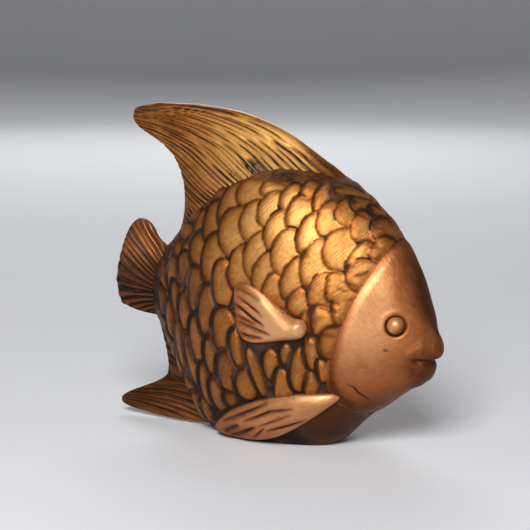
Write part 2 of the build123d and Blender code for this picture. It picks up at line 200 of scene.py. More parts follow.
# Free edges of the scales in picture points: upper end, rearmost point, lower end,
# and the front end's place across where the scale lies free, or 0 where it runs on under the next ones
SCALES = np.array((
    (249, 178, 236, 194, 239, 206, 0), (269, 179, 260, 188, 260, 195, 0),
    (275, 191, 256, 214, 262, 228, 0), (293, 183, 279, 199, 281, 210, 0),
    (297, 197, 285, 217, 287, 229, 0), (309, 179, 300, 190, 301, 197, 0),
    (326, 182, 311, 203, 313, 213, 0), (338, 184, 331, 195, 332, 199, 0),
    (334, 199, 315, 222, 319, 236, 0), (346, 197, 335, 211, 341, 226, 0),
    (362, 211, 349, 228, 352, 240, 0), (353, 198, 352, 206, 356, 212, 0),
    (381, 217, 370, 230, 374, 239, 0), (372, 205, 371, 213, 375, 218, 0),
    (255, 199, 239, 222, 244, 241, 0), (281, 210, 262, 238, 268, 251, 0),
    (287, 229, 270, 256, 275, 273, 0), (312, 213, 295, 238, 297, 250, 0),
    (319, 238, 298, 270, 303, 286, 0), (343, 227, 321, 251, 328, 269, 0),
    (366, 241, 343, 265, 346, 269, 0), (360, 260, 345, 274, 351, 290, 0),
    (325, 272, 305, 297, 311, 308, 0), (332, 272, 325, 288, 327, 301, 0),
    (297, 257, 278, 285, 281, 296, 0), (303, 287, 285, 302, 287, 309, 0),
    (263, 230, 242, 258, 248, 278, 0), (267, 252, 251, 276, 253, 290, 0),
    (273, 273, 262, 287, 262, 296, 0), (385, 236, 369, 250, 370, 258, 0),
    (236, 182, 217, 212, 219, 227, 0), (236, 206, 218, 233, 226, 256, 0),
    (217, 200, 202, 231, 205, 242, 0), (200, 231, 190, 252, 195, 270, 0),
    (214, 233, 201, 266, 207, 286, 0), (242, 243, 227, 270, 232, 289, 0),
    (222, 261, 212, 287, 221, 307, 229), (183, 253, 178, 268, 187, 288, 193),
    (195, 268, 188, 292, 196, 314, 206), (172, 255, 167, 275, 170, 289, 177),
    (163, 255, 160, 270, 163, 290, 167), (187, 289, 179, 312, 187, 335, 193),
    (174, 281, 171, 293, 178, 313, 180), (208, 287, 198, 312, 208, 338, 216),
    (221, 309, 212, 330, 222, 352, 232), (196, 316, 190, 338, 202, 364, 207),
    (209, 337, 204, 354, 213, 374, 218), (225, 352, 217, 370, 231, 394, 235),
    (187, 334, 185, 351, 199, 386, 196), (235, 330, 229, 347, 243, 371, 240),
    (246, 369, 235, 384, 246, 399, 254), (203, 364, 199, 378, 210, 405, 208),
    (215, 377, 210, 391, 221, 409, 224), (229, 392, 224, 399, 230, 406, 235),
    (179, 320, 176, 340, 185, 366, 184), (170, 300, 166, 318, 172, 336, 173),
    (247, 350, 246, 362, 264, 396, 256), (268, 350, 262, 362, 270, 380, 277),
    (285, 344, 279, 353, 285, 365, 290), (299, 350, 289, 371, 297, 390, 309),
    (279, 370, 273, 386, 276, 398, 290), (310, 339, 304, 355, 314, 371, 319),
    (317, 308, 310, 321, 318, 336, 332), (329, 326, 318, 342, 323, 358, 0),
    (319, 361, 317, 372, 322, 382, 328), (310, 373, 304, 388, 306, 396, 316),
    (308, 311, 298, 322, 304, 332, 0), (332, 300, 332, 315, 337, 326, 0),
    (222, 186, 209, 203, 207, 214, 0), (204, 208, 193, 230, 191, 246, 0),
    (190, 236, 181, 252, 180, 268, 0), (160, 284, 158, 296, 164, 314, 165),
    (181, 352, 177, 366, 188, 388, 186), (186, 376, 184, 388, 197, 408, 193),
    (193, 392, 192, 402, 207, 420, 201), (203, 398, 202, 408, 212, 422, 209),
), dtype=float)


# Least reach of a scale from its middle, and reach of its front where it runs on under the next ones
LEAST_REACH = 1.2
HIDDEN_REACH = 16.0
# Scales turned away from the picture: rows along and places up, each from, to and step,
# the stagger of every other row, and a scale's half height, rear reach and front reach
UNSEEN_ALONG = (-49.0, -33.0, 4.5)
UNSEEN_UP = (-42.0, 46.0, 8.4)
UNSEEN_STAGGER = 4.2
UNSEEN_SIZE = (4.8, 5.0, 9.0)
# Width over which a scale's edge falls off, and a distance at which no edge is near
EDGE_WIDTH = 0.7
NO_EDGE = 9.0
# Faces across and along the skin of each piece, or round it and up
FLANK_GRID = (290, 320)
HEAD_GRID = (320, 260)
DORSAL_GRID = (420, 190)
TAIL_GRID = (220, 130)
ANAL_GRID = (240, 130)
PECTORAL_GRID = (240, 120)
PELVIC_GRID = (280, 120)
EYE_GRID = (64, 48)


def linear(red, green, blue):
    """Colour of a shader from the three values that a screen shows."""
    return tuple(((c / 255 + 0.055) / 1.055) ** 2.4 if c > 10 else c / 3294.6 for c in (red, green, blue))


def length(name, description, default):
    """Length that can be set in the panel, in metres."""
    return bpy.props.FloatProperty(name=name, description=description, default=default, unit="LENGTH")


def tint(name, description, *screen):
    """Colour that can be set in the panel, from the three values that a screen shows."""
    return bpy.props.FloatVectorProperty(
        name=name, description=description, default=linear(*screen), subtype="COLOR"
    )


class FishSizes(bpy.types.PropertyGroup):
    """Relief of the scales and the fins."""

    scale_height: length("Scale height", "How far a scale stands over its groove", 0.0016)
    groove_width: length("Groove width", "Width of the dark line behind a scale's free edge", 0.0007)
    ray_depth: length("Ray depth", "Depth of the grooves between the fin rays", 0.001)


class FishColors(bpy.types.PropertyGroup):
    """Paint of the figurine."""

    gold: tint("Gold", "Rubbed gold of the scales and the dorsal fin", 216, 160, 88)
    ochre: tint("Ochre", "Middle tone of the gold", 164, 100, 44)
    umber: tint("Umber", "Deeper tone of the gold", 86, 45, 18)
    copper: tint("Copper", "Rubbed copper of the head and the paired fins", 226, 167, 115)
    tan: tint("Tan", "Middle tone of the copper", 170, 102, 58)
    russet: tint("Russet", "Deeper tone of the copper", 92, 48, 22)
    amber: tint("Amber", "Rubbed brown of the tail and the anal fin", 188, 122, 66)
    sepia: tint("Sepia", "Middle tone of the brown", 126, 74, 38)
    walnut: tint("Walnut", "Deeper tone of the brown", 62, 33, 17)
    patina: tint("Patina", "Brown-black wash left in the grooves", 26, 19, 14)
    slate: tint("Slate", "Grey film where the wash lies thin", 88, 83, 79)
    clay: tint("Clay", "Bare clay of the foot plate", 206, 190, 168)
    floor: tint("Floor", "Pale floor and backdrop", 226, 227, 230)


def curve(knots, values, at):
    """Smooth curve through the values at the knots, read at the given places."""
    slopes = np.gradient(values, knots)
    at = np.clip(at, knots[0], knots[-1])
    i = np.clip(np.searchsorted(knots, at) - 1, 0, len(knots) - 2)
    span = knots[i + 1] - knots[i]
    s = (at - knots[i]) / span
    near = (1 + 2 * s) * (1 - s) ** 2 * values[i] + s * (1 - s) ** 2 * span * slopes[i]
    far = s**2 * (3 - 2 * s) * values[i + 1] - s**2 * (1 - s) * span * slopes[i + 1]
    return near + far


def joined(*values):
    """Values side by side, with a row for each point."""
    return np.stack(values, axis=1)


def ease(low, high, at):
    """Smooth rise from 0 at low to 1 at high, or fall where low is the larger."""
    s = np.clip((at - low) / (high - low), 0, 1)
    return s * s * (3 - 2 * s)


def mound(middle, width, at):
    """Soft bump of height 1."""
    return np.exp(-(((at - middle) / width) ** 2))


def patches(first, second):
    """Slow uneven wave over a skin, between -1 and 1."""
    along = np.sin(0.55 * first + 1.3 * np.sin(0.31 * second))
    return along * np.sin(0.47 * second + 1.1 * np.sin(0.29 * first))


def body_shape(x):
    """Back, belly, half width and level of the widest line of the body."""
    return [curve(BODY[:, 0], BODY[:, k], x) for k in range(1, 5)]


def on_body(x, turn):
    """Point of the right flank's skin, with a quarter turn up at the back and down at the belly."""
    back, belly, half, widest = body_shape(x)
    rise = np.where(turn > 0, back - widest, widest - belly)
    return joined(x, -half * np.cos(turn), widest + rise * np.sin(turn))


def even_turns():
    """Shares of a half turn that are evenly spaced along an upright oval."""
    angle = np.linspace(0, HALF_TURN, 400)
    steps = np.hypot(np.cos(angle), 2 * np.sin(angle))
    length = np.concatenate([[0], np.cumsum((steps[1:] + steps[:-1]) / 2)])
    return length / length[-1], angle / HALF_TURN


EVEN_TURNS = even_turns()


def turn_at(x, down):
    """Turn about the body at a share of the way from the back down to the floor or the belly."""
    _, belly, _, widest = body_shape(x)
    lowest = -np.arcsin(np.minimum(1, widest / (widest - belly)))
    quarter = HALF_TURN / 2
    return quarter - (quarter - lowest) * np.interp(down, *EVEN_TURNS)


def gill_x(z):
    """X of the gill edge at a level."""
    return curve(GILL[:, 1], GILL[:, 0], z)


def gill_places():
    """X of the gill edge for each share of the way down the flank."""
    guess, rounds = 45.0, 60
    down = np.linspace(0, 1, 401)
    x = np.full_like(down, guess)
    for _ in range(rounds):
        x = (x + gill_x(on_body(x, turn_at(x, down))[:, 2])) / 2
    return down, x


GILL_PLACES = gill_places()


def girth(x, turn):
    """Length along the skin from the widest line upwards."""
    back, belly, half, widest = body_shape(x)
    rise = np.where(turn > 0, back - widest, widest - belly)
    total = np.zeros_like(turn)
    for node, weight in zip(*np.polynomial.legendre.leggauss(8)):
        angle = turn * (node + 1) / 2
        total += weight / 2 * np.hypot(half * np.sin(angle), rise * np.cos(angle))
    return total * turn


def sheet(columns, rows):
    """Flat grid for a skin, with each point's two shares of the way across it."""
    form = bmesh.new()
    bmesh.ops.create_grid(form, x_segments=columns, y_segments=rows, size=0.5)
    places = np.array([vert.co[:2] for vert in form.verts]) + 0.5
    return form, places[:, 0], places[:, 1]


def smooth(values, columns):
    """Values of a sheet's points, each averaged with its neighbours."""
    grid = values.reshape(-1, columns + 1)
    for axis in (0, 1):
        wide = np.pad(grid, 1, mode="edge")
        grid = (np.roll(wide, 1, axis) + 2 * wide + np.roll(wide, -1, axis))[1:-1, 1:-1] / 4
    return grid.ravel()


def ball(around, levels):
    """Round form for a closed piece, with each point's share of the way up its axis and its turn about it."""
    form, turned, level = sheet(around, levels)
    return form, level, (2 * turned - 1) * HALF_TURN


def shape(form, points, recess, flow, tone_and_shading):
    """Moves the form's points into place and keeps their depth in a groove, brush run and tone of paint,
    which also carries painted shade and painted highlights.
    """
    depth = form.verts.layers.float.new("recess")
    brush = form.verts.layers.float_vector.new("flow")
    tone_layer = form.verts.layers.float.new("tone_and_shading")
    rows = zip(form.verts, points * MM, np.clip(recess, 0, 1), flow * MM, tone_and_shading)
    for vert, point, deep, run, darkening in rows:
        vert.co = point
        vert[depth] = deep
        vert[brush] = run
        vert[tone_layer] = darkening
    bmesh.ops.remove_doubles(form, verts=form.verts, dist=0.0002 * MM)


def close(form):
    """Merges the seams of a skin and closes it on the inside with a fan."""
    bmesh.ops.remove_doubles(form, verts=form.verts, dist=0.01 * MM)
    rim = [edge for edge in form.edges if edge.is_boundary]
    lid = bmesh.ops.holes_fill(form, edges=rim, sides=0)["faces"]
    bmesh.ops.poke(form, faces=lid)


def add_piece(form, node, slot):
    """Makes the finished form an object that stands for its node."""
    bmesh.ops.recalc_face_normals(form, faces=form.faces)
    mesh = bpy.data.meshes.new(node + "_skin")
    form.to_mesh(mesh)
    form.free()
    mesh.shade_smooth()
    mesh.materials.append(paint(slot))
    piece = bpy.data.objects.new(node + "_skin", mesh)
    bpy.context.scene.collection.objects.link(piece)
    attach(piece, "root")
    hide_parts(node)
    return piece


def outward(place, along, down):
    """Unit vectors out of a skin of the right side, from small steps along it."""
    step = 1e-3
    over = place(np.minimum(along + step, 1), down) - place(np.maximum(along - step, 0), down)
    under = place(along, np.minimum(down + step, 1)) - place(along, np.maximum(down - step, 0))
    normal = np.cross(over, under)
    normal /= np.maximum(np.linalg.norm(normal, axis=1, keepdims=True), 1e-9)
    facing = np.sum(normal * (place(along, down) - BODY_MIDDLE), axis=1, keepdims=True)
    return normal * np.sign(facing)


# Share of the flank's rows above the fold at the floor, and the flank's overlap under the head
RIM_SHARE = 0.975
GILL_OVERLAP = 2.0


def flank_turn(along, down):
    """X and turn of a place on the flank, which starts a little under the head."""
    share = np.minimum(down / RIM_SHARE, 1)
    front = np.interp(share, *GILL_PLACES) + GILL_OVERLAP * ease(1.0, 0.9, share)
    x = front + along * (FLANK_END - front)
    return x, turn_at(x, share)


def flank_place(along, down):
    """Point of the plain flank, with its last rows tucked in under the belly to the foot plate."""
    x, turn = flank_turn(along, down)
    points = on_body(x, turn)
    tuck = np.maximum(down - RIM_SHARE, 0) / (1 - RIM_SHARE)
    foot = FOOT_HALF[1] * np.sqrt(np.maximum(1 - (x / FOOT_HALF[0]) ** 2, 0))
    points[:, 1] += tuck * (-foot - points[:, 1])
    points[:, 2] = np.maximum(points[:, 2], 0)
    return points


def seen_on_body(across, down):
    """Where points of the picture meet the body: x, and the length along the skin up from the widest line."""
    forward = (CAMERA_AIM - CAMERA_PLACE) / np.linalg.norm(CAMERA_AIM - CAMERA_PLACE)
    side = np.cross(forward, (0, 0, 1))
    side /= np.linalg.norm(side)
    spread = SENSOR / LENS / PICTURE
    ray = forward + np.outer(across - PICTURE / 2, spread * side)
    ray -= np.outer(down - PICTURE / 2, spread * np.cross(side, forward))
    points = CAMERA_PLACE + DEPTHS[:, None] * ray[:, None, :]
    x, y, z = np.moveaxis(points, 2, 0)
    back, belly, half, widest = body_shape(x)
    rise = np.where(z > widest, back - widest, widest - belly)
    outside = np.hypot(y / half, (z - widest) / rise)
    first = np.where(outside.min(axis=1) < 1, np.argmax(outside < 1, axis=1), np.argmin(outside, axis=1))
    turn = np.arctan2((z - widest) / rise, -y / half)
    x, turn = (grid[np.arange(len(grid)), first] for grid in (x, turn))
    return joined(x, girth(x, turn))


def scale_forms():
    """Middle, direction up, half height, rear and front reach of each scale on the unrolled skin.

    The last value tells whether it lies free. The rearmost come first.
    """
    upper, rear, lower = (seen_on_body(SCALES[:, k], SCALES[:, k + 1]) for k in (0, 2, 4))
    front = seen_on_body(np.maximum(SCALES[:, 6], SCALES[:, 2]), SCALES[:, 3])
    chord = upper - lower
    half = np.linalg.norm(chord, axis=1) / 2
    chord /= 2 * half[:, None]
    back = joined(-chord[:, 1], chord[:, 0])
    middle = (upper + lower) / 2
    depth = np.maximum(np.sum((rear - middle) * back, axis=1), LEAST_REACH)
    free = SCALES[:, 6] > 0
    ahead = np.maximum(-np.sum((front - middle) * back, axis=1), LEAST_REACH)
    ahead = np.where(free, 1.4 * ahead, HIDDEN_REACH)
    middle -= back * np.where(free, 0, 0.6 * depth)[:, None]
    depth *= np.where(free, 1.1, 1.6)
    half *= np.where(free, 1.13, 1.08)
    order = np.argsort(rear[:, 0] - 0.3 * rear[:, 1])
    seen = [(middle[n], chord[n], half[n], depth[n], ahead[n], free[n]) for n in order]
    lowest, highest, step = UNSEEN_UP
    unseen = [
        (np.array((x, up)), np.array((0.0, 1.0)), *UNSEEN_SIZE, False)
        for n, x in enumerate(np.arange(*UNSEEN_ALONG))
        for up in np.arange(lowest + UNSEEN_STAGGER * (n % 2), highest, step)
    ]
    return unseen + seen


def scale_relief(x, up, high):
    """Height of the scales over the unrolled skin, and what their paint follows.

    That is the skin left bare, the distance behind a free edge, and the edge, the shaded side and the
    rubbed middle of the scale itself.
    """
    height, edge, shade, rubbed = (np.zeros_like(x) for _ in range(4))
    bare = np.ones_like(x)
    behind_edge = np.full_like(x, NO_EDGE)
    for middle, chord, half, rear, front, free in scale_forms():
        over = (x - middle[0]) * chord[0] + (up - middle[1]) * chord[1]
        behind = (up - middle[1]) * chord[0] - (x - middle[0]) * chord[1]
        reach = np.where(behind > 0, rear, front)
        share = np.hypot(behind / reach, over / half)
        steep = np.hypot(behind / reach**2, over / half**2) / np.maximum(share, 1e-6)
        inside = (1 - share) / np.maximum(steep, 1e-3)
        within = np.maximum(inside, 0)
        covers = share < 1
        pillow = 1 - (0.9 if free else 0.75) * np.exp(-within / 1.3)
        slope = np.clip(1.15 - 0.085 * (rear - behind), 0.15, 1.1)
        raised = high * pillow if free else height + (high * slope - height) * pillow
        near = mound(0, EDGE_WIDTH, inside)
        height = np.where(covers, raised, height * (1 - 0.75 * near * free))
        edge = np.where(covers, near, edge)
        # Painted shade inside each scale's edge, strongest on the scale's rear side, which faces away from
        # the light
        side = 0.3 + 0.7 * ease(-0.6, 0.3, behind / reach)
        shade = np.where(covers, side * np.exp(-within / (1.2 if free else 1.5)), shade)
        rubbed = np.where(covers, 1 - np.exp(-within / 2.5), rubbed)
        bare = np.where(covers, 0, bare)
        behind_edge = np.where(covers, NO_EDGE, np.minimum(behind_edge, -inside))
    return np.minimum(height, 1.1 * high), bare, behind_edge, edge, shade, rubbed


def scales(points, turn, sizes):
    """Height of the scales, depth in a groove, place along the brush marks and tone of the paint, which also
    carries painted shade.
    """
    x, z = points[:, 0], points[:, 2]
    up = girth(x, turn)
    high = sizes.scale_height / MM
    height, bare, behind_edge, edge, shade, rubbed = scale_relief(x, up, high)
    rim = x - gill_x(z)
    throat = ease(16, 28, x) * ease(24, 14, z)
    crown = ease(1.2, 1.4, turn) * ease(15, 35, x)
    back = ease(0.85, 1.15, turn)
    fade = ease(0.3, 4, z) * ease(-54, -48, x) * (1 - crown) * ease(0.5, -2.5, rim) * (1 - throat)

    # Paint darker towards the bottom and the rear, less so at the front, and darker up at the crown
    darkening = np.clip(0.75 * ease(78, 36, z) + 0.75 * ease(8, -30, x), 0, 1)
    darkening *= 1 - 0.3 * ease(10, 35, x)
    darkening = np.maximum(darkening, 0.6 * ease(0.8, 1.25, turn) * ease(-5, 30, x))
    shadow = mound(0, sizes.groove_width / MM * (1 + 0.3 * darkening), behind_edge) * (1 - throat)
    shadow *= np.maximum(ease(-0.1, 0.4, patches(x, up)), ease(0, 0.6, darkening))
    root = (0.54 + 0.18 * mound(6, 12, x)) * back * ease(-30, -12, x)
    bare *= np.maximum(0.4 + 0.3 * ease(64, 50, z), root) * (1 - 0.3 * throat)
    smudge = np.maximum(back * ease(-5, 25, x), ease(-15, -5, rim) * ease(34, 44, z))
    smudge *= ease(0.25, 0.8, patches(0.9 * x + 0.5 * up, 2.2 * up))
    dark = 0.12 + 0.16 * darkening + 0.3 * ease(0.3, 0.8, turn) * ease(-10, -30, x)
    tail = 0.5 * ease(-42, -51, x)
    recess = np.maximum.reduce([bare, 1.2 * shadow, dark * edge, 0.55 * smudge, tail]) * ease(0.8, -1.5, rim)

    # Painted shade at the throat under the pelvic fins; the rubbed middles of the scales are lighter
    darkening = np.maximum(darkening * (0.78 - 0.3 * rubbed), 0.85 * throat)
    # Painted shade along the floor and along the gill edge under the head
    darkening = np.maximum.reduce([darkening, 0.8 * ease(8, 2, z), 0.5 * ease(-3, 0, rim)])
    # Painted shade on the rear side of each scale, together with darker paint at its edge
    darkening = np.minimum(darkening + 0.8 * shade, 1.1)
    flow = joined(x + up, up - x, np.zeros_like(x))
    return (height - 0.5 * high) * fade, recess, flow, darkening


def mouth_rise(x, z):
    """Height over the mouth line, which climbs a little to its corner."""
    return z - MOUTH_LEVEL - MOUTH_CLIMB * (MOUTH_FRONT - x)


def lips(x, z):
    """How far the lips and the chin stand out: a wedge over the mouth, low rounds under it."""
    rise = mouth_rise(x, z)
    front = ease(61.5, 70.5, x)
    peak = 1.0 + 3.8 * front
    upper = ease(-0.4, peak, rise) * ease(peak + 4 + 4 * front, peak, rise) * ease(60.5, 64.5, x)
    lower = mound(-5.0, 2.6, rise) * ease(62, 68, x)
    chin = mound(27.5, 3.0, z) * mound(65, 5, x)
    return (0.6 + 0.4 * front) * upper + 0.5 * lower + 0.4 * chin


def head_depth(points):
    """Distance outside the head's skin, less than zero inside it: the body form, the lips and the snout."""
    x, y, z = points.T
    back, belly, half, widest = body_shape(x)
    rise = np.where(z > widest, back - widest, widest - belly) + HEAD_PROUD
    half = half + HEAD_PROUD
    skin = (np.hypot(y / half, (z - widest) / rise) - 1) * np.minimum(half, rise)
    skin += np.maximum(x - BODY[-1, 0], 0)
    skin -= lips(x, z)
    blend = np.exp(-skin / SNOUT_BLEND)
    for along, level, long, wide, over, under in SNOUT:
        tall = np.where(z > level, over, under)
        out = np.sqrt(((x - along) / long) ** 2 + (y / wide) ** 2 + ((z - level) / tall) ** 2) - 1
        blend += np.exp(-out * long / SNOUT_BLEND)
    return -SNOUT_BLEND * np.log(blend)


def head_reach(heading):
    """Distance from the middle of the head to its skin, along each heading."""
    nearest, farthest, halvings = 4.0, 75.0, 26
    near = np.full(len(heading), nearest)
    far = np.full(len(heading), farthest)
    for _ in range(halvings):
        middle = (near + far) / 2
        inside = head_depth(HEAD_CENTER + heading * middle[:, None]) < 0
        near = np.where(inside, middle, near)
        far = np.where(inside, far, middle)
    return near


def heading_at(spread, turn):
    """Direction from the middle of the head at an angle from straight ahead."""
    aside = np.sin(spread)
    return joined(np.cos(spread), -aside * np.sin(turn), aside * np.cos(turn))


def gill_spread():
    """Angle from straight ahead at which the head ends at the gill edge, for each turn."""
    least, most = 0.3, 2.6
    turns = np.linspace(-HALF_TURN, HALF_TURN, 181)
    spreads = np.linspace(least, most, 140)
    turn, spread = (side.ravel() for side in np.meshgrid(turns, spreads, indexing="ij"))
    heading = heading_at(spread, turn)
    points = HEAD_CENTER + heading * head_reach(heading)[:, None]
    past = (points[:, 0] - gill_x(points[:, 2])).reshape(len(turns), len(spreads))
    ends = []
    for row in past:
        last = np.argmax(row < 0)
        share = row[last - 1] / (row[last - 1] - row[last])
        ends.append(spreads[last - 1] + share * (spreads[last] - spreads[last - 1]))
    return turns, np.array(ends)


# Crack and chip of the head's right side: width, depth and places along and up
HEAD_FLAWS = (
    (0.5, 0.7, ((41.8, 28.6), (44.4, 27.0), (45.2, 25.0), (48.3, 21.2))),
    (0.5, 0.8, ((55.4, 42.3), (57.0, 41.2))),
)
EYE_PLACE = (59.5, 51.3)
EYE_TURN = math.radians(33)
EYE_RADIUS = 3.5
EYE_RING = 3.8
EYE_SUNK = 1.05


def eye_seat():
    """Middle of the right eye on the head's skin."""
    x, z = np.array([EYE_PLACE[0]]), EYE_PLACE[1]
    back, _, half, widest = body_shape(x)
    reach = half * np.sqrt(1 - ((z - widest) / (back - widest)) ** 2) + HEAD_PROUD
    return np.array((EYE_PLACE[0], -reach[0], z))


def rays(across, along, lines):
    """Depth of ray grooves: each line has its place across, width, start, end and depth."""
    fade = 7
    depth = np.zeros_like(across)
    for middle, width, start, stop, strength in lines:
        wave = 0.25 * width * np.sin(along * 0.35 + 9 * middle)
        line = strength * mound(middle, width, across + wave)
        line *= ease(start, start + fade, along) * ease(stop + fade, stop, along)
        depth = np.maximum(depth, line)
    return depth


def strokes(back, up, lines, spread=1.0):
    """Depth of thin grooves drawn along paths, each fading to its ends, with their widths spread."""
    depth = np.zeros_like(back)
    for width, strength, path in lines:
        ends = np.array(path, dtype=float)
        runs = np.linalg.norm(np.diff(ends, axis=0), axis=1)
        starts = np.concatenate([[0], np.cumsum(runs)])
        for first, last, run, start in zip(ends[:-1], ends[1:], runs, starts):
            step = (last - first) / run
            way = np.clip((back - first[0]) * step[0] + (up - first[1]) * step[1], 0, run)
            apart = np.hypot(back - first[0] - way * step[0], up - first[1] - way * step[1])
            share = (start + way) / starts[-1]
            taper = np.sqrt(np.maximum(4 * share * (1 - share), 0))
            depth = np.maximum(depth, strength * taper * mound(0, width * spread, apart))
    return depth


def blade(levels, level, turn):
    """Flat form of a middle fin: its place up, along and across."""
    end = 0.03
    share = np.clip((level - end) / (1 - 2 * end), 0, 1)
    cap = np.sqrt(np.maximum(1 - (np.maximum(np.abs(level - 0.5) - 0.5 + end, 0) / end) ** 2, 0))
    up = levels[0, 0] + share * (levels[-1, 0] - levels[0, 0])
    rear, front, half = (curve(levels[:, 0], levels[:, k], up) for k in (1, 2, 3))
    along = (rear + front) / 2 + (front - rear) / 2 * cap * np.cos(turn)
    return up, along, half * cap * np.sin(turn)


def cut_rays(across, depth):
    """Draws the two faces of a blade in by the depth of the grooves, but leaves its edge."""
    return across - np.sign(across) * np.minimum(depth, 0.6 * np.abs(across))


def dorsal_flow(x, z):
    """Place of a point across and along the rays, which follow the leading edge moved down to the rear."""
    farthest, halvings = 2.0, 30
    near = np.zeros_like(x)
    far = np.full_like(x, farthest)
    for _ in range(halvings):
        middle = (near + far) / 2
        lead = curve(DORSAL_LEAD[:, 0], DORSAL_LEAD[:, 1], x + RAY_SHIFT[0] * middle)
        over = z + RAY_SHIFT[1] * middle > lead
        far = np.where(over, middle, far)
        near = np.where(over, near, middle)
    return near, x + RAY_SHIFT[0] * near


def dorsal_lines():
    """Grooves of the dorsal fin, long and broken."""
    random = np.random.default_rng(5)
    count, first, span, tip = 27, 0.06, 1.15, -60
    lines = []
    for n in range(count):
        middle = first + span * (n + random.uniform(-0.3, 0.3)) / count
        root = 44 - 18 * middle * random.uniform(0.6, 1.2)
        while root > tip:
            run = random.uniform(14, 50)
            width = random.uniform(0.005, 0.014)
            lines.append((middle, width, root - run, root, random.uniform(0.7, 1)))
            root -= run + random.uniform(2, 8)
            middle += random.uniform(-0.012, 0.012)
    return lines


def even_lines(seed, count, first, step, jitter, widths, ends):
    """Grooves of a smaller fin, side by side with a little unevenness."""
    random = np.random.default_rng(seed)
    lines = []
    for n in range(count):
        middle = first + step * n + random.uniform(-jitter, jitter)
        lines.append((middle, random.uniform(*widths), *ends, random.uniform(0.6, 1)))
    return lines


def outline_curve(outline, size):
    """Points along the closed outline of a leaf."""
    count = len(outline)
    loop = np.concatenate([outline, outline, outline]) * size
    knots = np.arange(len(loop), dtype=float)
    fine = np.linspace(count, 2 * count, OUTLINE_POINTS, endpoint=False)
    return np.stack([curve(knots, loop[:, k], fine) for k in (0, 1)], axis=1)


def rounding(outline, size, share, back, up, radius):
    """Share of a leaf's full thickness at each place, which falls off in a quarter circle to the outline."""
    apart = np.full_like(back, radius)
    for place in outline_curve(outline, size)[::3]:
        apart = np.minimum(apart, np.hypot(back - place[0], up - place[1]))
    return np.minimum(np.sqrt(1 - (1 - apart / radius) ** 2), np.sqrt(1 - share**8))


def leaf(outline, size, middle, level, turn):
    """Share of the way from a leaf's middle to its outline, the whole way, and the place back and up."""
    points = outline_curve(outline, size) - middle * size
    angle = np.arctan2(points[:, 1], points[:, 0])
    order = np.argsort(angle)
    reach = np.interp(turn, angle[order], np.hypot(*points[order].T), period=2 * HALF_TURN)
    share = np.sin(HALF_TURN * level)
    back, up = (middle * size)[:, None] + share * reach * np.stack([np.cos(turn), np.sin(turn)])
    return share, reach, back, up


def add_node(tree, kind, inputs=(), **settings):
    """Node with its settings, each given input set to a value or joined to a socket."""
    made = tree.nodes.new(kind)
    for name, value in settings.items():
        setattr(made, name, value)
    for key, value in dict(inputs).items():
        if isinstance(value, bpy.types.NodeSocket):
            tree.links.new(value, made.inputs[key])
        else:
            made.inputs[key].default_value = value
    return made


def add_math(tree, operation, first, second, clamp=False):
    """Math node's result."""
    inputs = {0: first, 1: second}
    return add_node(tree, "ShaderNodeMath", inputs, operation=operation, use_clamp=clamp).outputs[0]


def add_mix(tree, share, first, second):
    """Colour mixed from two by a share."""
    return add_node(tree, "ShaderNodeMix", {0: share, 6: first, 7: second}, data_type="RGBA").outputs[2]


def add_noise(tree, place, scale, detail, roughness=0.5):
    """Uneven value about 0.5."""
    inputs = {"Vector": place, "Scale": scale, "Detail": detail, "Roughness": roughness}
    return add_node(tree, "ShaderNodeTexNoise", inputs).outputs[0]


def add_ramp(tree, value, low, high, first=0.0, last=1.0):
    """Smooth change from the first result at the low value to the last one at the high value."""
    inputs = {"Value": value, "From Min": low, "From Max": high, "To Min": first, "To Max": last}
    return add_node(tree, "ShaderNodeMapRange", inputs, interpolation_type="SMOOTHSTEP").outputs[0]


def add_bump(tree, height, strength):
    """Shading of a fine relief."""
    inputs = {"Strength": strength, "Distance": BUMP_HEIGHT, "Height": height}
    return add_node(tree, "ShaderNodeBump", inputs).outputs[0]


def new_material(name):
    """Material, its nodes, the inputs of its shader and the place on the object."""
    material = bpy.data.materials.new(name)
    material.use_nodes = True
    tree = material.node_tree
    place = tree.nodes.new("ShaderNodeTexCoord").outputs["Object"]
    return material, tree, tree.nodes["Principled BSDF"].inputs, place


BUMP_HEIGHT = 0.0003
# Brush marks for each metre along them, across them and through
BRUSH_MARKS = (170.0, 1150.0, 300.0)
# Sockets of the shared finish
FINISH_SOCKETS = (
    ("INPUT", "NodeSocketFloat", ("Recess", "Tone_and_shading", "Brush")),
    ("INPUT", "NodeSocketVector", ("Flow", "Place")),
    ("INPUT", "NodeSocketColor", ("Bright", "Middle", "Deep", "Patina", "Slate")),
    ("OUTPUT", "NodeSocketColor", ("Color",)),
    ("OUTPUT", "NodeSocketFloat", ("Roughness", "Metallic", "Height")),
)
# Paints: three tones from bright to deep, and the strength of the brush marks in tone and in relief
PAINTS = {
    "gold_bronze": (("gold", "ochre", "umber"), 0.8, 0.6),
    "copper_bronze": (("copper", "tan", "russet"), 0.45, 0.4),
    "brown_bronze": (("amber", "sepia", "walnut"), 0.6, 0.6),
}


